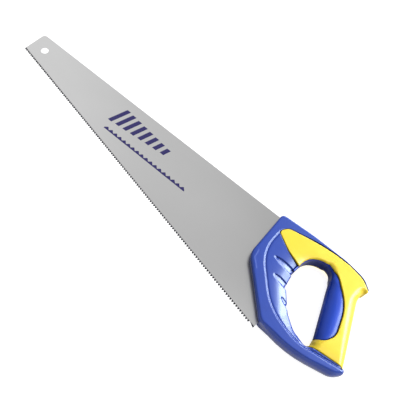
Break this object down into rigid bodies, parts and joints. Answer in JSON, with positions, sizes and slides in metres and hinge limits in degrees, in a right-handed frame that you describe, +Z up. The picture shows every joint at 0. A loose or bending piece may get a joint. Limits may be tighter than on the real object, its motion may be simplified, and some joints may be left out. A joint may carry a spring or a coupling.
{
  "type": "hand saw",
  "caption": "Hand saw with a tapered toothed steel blade, a hanging hole at the toe and a closed blue and yellow moulded handle with a soft grip.",
  "frame": {"origin": "on the ground under the middle of the saw's box, with the saw lying on one cheek of its handle", "axes": "+X along the blade's back from the toe to the handle, +Y square to the back away from the teeth, +Z up through the blade"},
  "size_m": [0.608, 0.1414, 0.028],
  "materials": {
    "blade_steel": "satin",
    "blue_plastic": "satin",
    "yellow_soft": "satin",
    "navy_soft": "satin",
    "screw_steel": "plain"
  },
  "bodies": {
    "root": {"blade": "blade_steel", "handle_body": "blue_plastic", "grip_cover": "yellow_soft", "grip_insert": "navy_soft", "screws": "screw_steel"}
  },
  "joints": []
}
